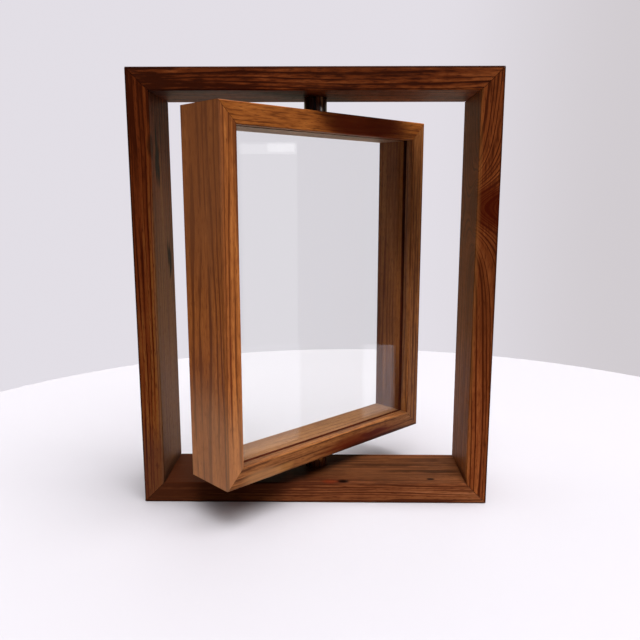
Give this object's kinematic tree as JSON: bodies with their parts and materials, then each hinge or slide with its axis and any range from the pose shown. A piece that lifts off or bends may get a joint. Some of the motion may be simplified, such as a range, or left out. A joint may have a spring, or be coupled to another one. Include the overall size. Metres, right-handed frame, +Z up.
{
  "type": "rotating picture frame",
  "caption": "Free-standing mitred hardwood frame whose inner glazed frame turns about a vertical axis on wooden dowels, to show a picture floating between clear panes.",
  "frame": {"origin": "where the axis of the pivot dowels meets the surface that the stand rests on, midway between the stiles and 7.5 mm behind the middle of the outer bottom rail's depth", "axes": "+Z up along the pivot axis, +X to the right of someone facing the stand, +Y away from them"},
  "size_m": [0.246, 0.1652, 0.3],
  "materials": {
    "outer_wood": "dark reddish-brown hardwood, straight streaked grain, satin oil finish",
    "inner_wood": "the same hardwood in a warmer, lighter cut, satin oil finish",
    "strip_wood": "brown hardwood, fine straight grain, satin",
    "dowel_wood": "dark turned hardwood, polished by running",
    "tongue_wood": "pale compressed hardwood, unfinished",
    "point_steel": "thin stamped steel",
    "glass": "clear picture glass with ground edges"
  },
  "bodies": {
    "outer_frame": {"outer_bottom_rail": "outer_wood", "outer_left_stile": "outer_wood", "outer_top_rail": "outer_wood", "outer_right_stile": "outer_wood", "outer_tongue_bottom_left": "tongue_wood", "outer_tongue_top_left": "tongue_wood", "outer_tongue_top_right": "tongue_wood", "outer_tongue_bottom_right": "tongue_wood"},
    "inner_frame": {"inner_bottom_rail": "inner_wood", "inner_left_stile": "inner_wood", "inner_top_rail": "inner_wood", "inner_right_stile": "inner_wood", "inner_tongue_bottom_left": "tongue_wood", "inner_tongue_top_left": "tongue_wood", "inner_tongue_top_right": "tongue_wood", "inner_tongue_bottom_right": "tongue_wood", "front_glass": "glass", "rear_glass": "glass", "retaining_strip_bottom": "strip_wood", "retaining_strip_left": "strip_wood", "retaining_strip_top": "strip_wood", "retaining_strip_right": "strip_wood", "glass_point_bottom_1": "point_steel", "glass_point_bottom_2": "point_steel", "glass_point_left_1": "point_steel", "glass_point_left_2": "point_steel", "glass_point_top_1": "point_steel", "glass_point_top_2": "point_steel", "glass_point_right_1": "point_steel", "glass_point_right_2": "point_steel", "pivot_dowel_bottom": "dowel_wood", "pivot_dowel_top": "dowel_wood"}
  },
  "joints": [
    {"name": "frame_turn", "type": "hinge", "parent": "outer_frame", "child": "inner_frame", "pos_m": [0, 0, 0.15125], "axis": [0, 0, 1], "continuous": true}
  ]
}
